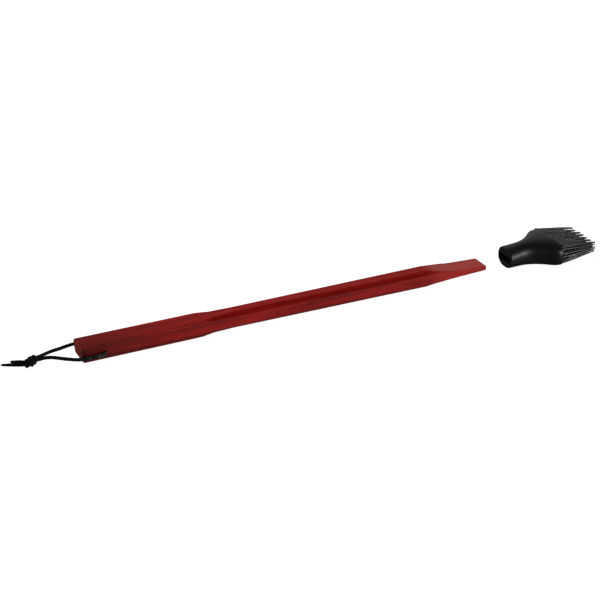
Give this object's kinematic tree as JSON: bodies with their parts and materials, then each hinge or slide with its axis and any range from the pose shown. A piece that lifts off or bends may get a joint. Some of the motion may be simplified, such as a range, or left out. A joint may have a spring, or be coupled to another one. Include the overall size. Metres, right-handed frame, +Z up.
{
  "type": "pastry brush",
  "caption": "Long-handled pastry brush: squared, chamfered hardwood handle with a knotted hanging cord, and a flared silicone head with moulded bristles that pulls off.",
  "frame": {"origin": "on the resting surface, under the middle of the handle and the pulled-off head together", "axes": "+X along the handle from the butt to the bristles, +Y across it, +Z up from the surface it lies on"},
  "size_m": [0.5818, 0.056, 0.0243],
  "materials": {
    "wood": "red stain, satin",
    "silicone": "matte silicone",
    "silicone_bristle": "satin silicone",
    "cord": "waxed twisted cord"
  },
  "bodies": {
    "handle": {"handle": "wood", "cord_near_strand": "cord", "cord_far_strand": "cord", "cord_in_hole": "cord", "cord_short_tail": "cord", "cord_long_tail": "cord", "cord_knot": "cord"},
    "head": {"head_body": "silicone", "bristle_row_1": "silicone_bristle", "bristle_row_2": "silicone_bristle", "bristle_row_3": "silicone_bristle", "bristle_row_4": "silicone_bristle", "bristle_row_5": "silicone_bristle"}
  },
  "joints": [
    {"name": "head_slide", "type": "slide", "parent": "handle", "child": "head", "axis": [-1, 0, 0], "range_m": [0, 0.0495]}
  ]
}
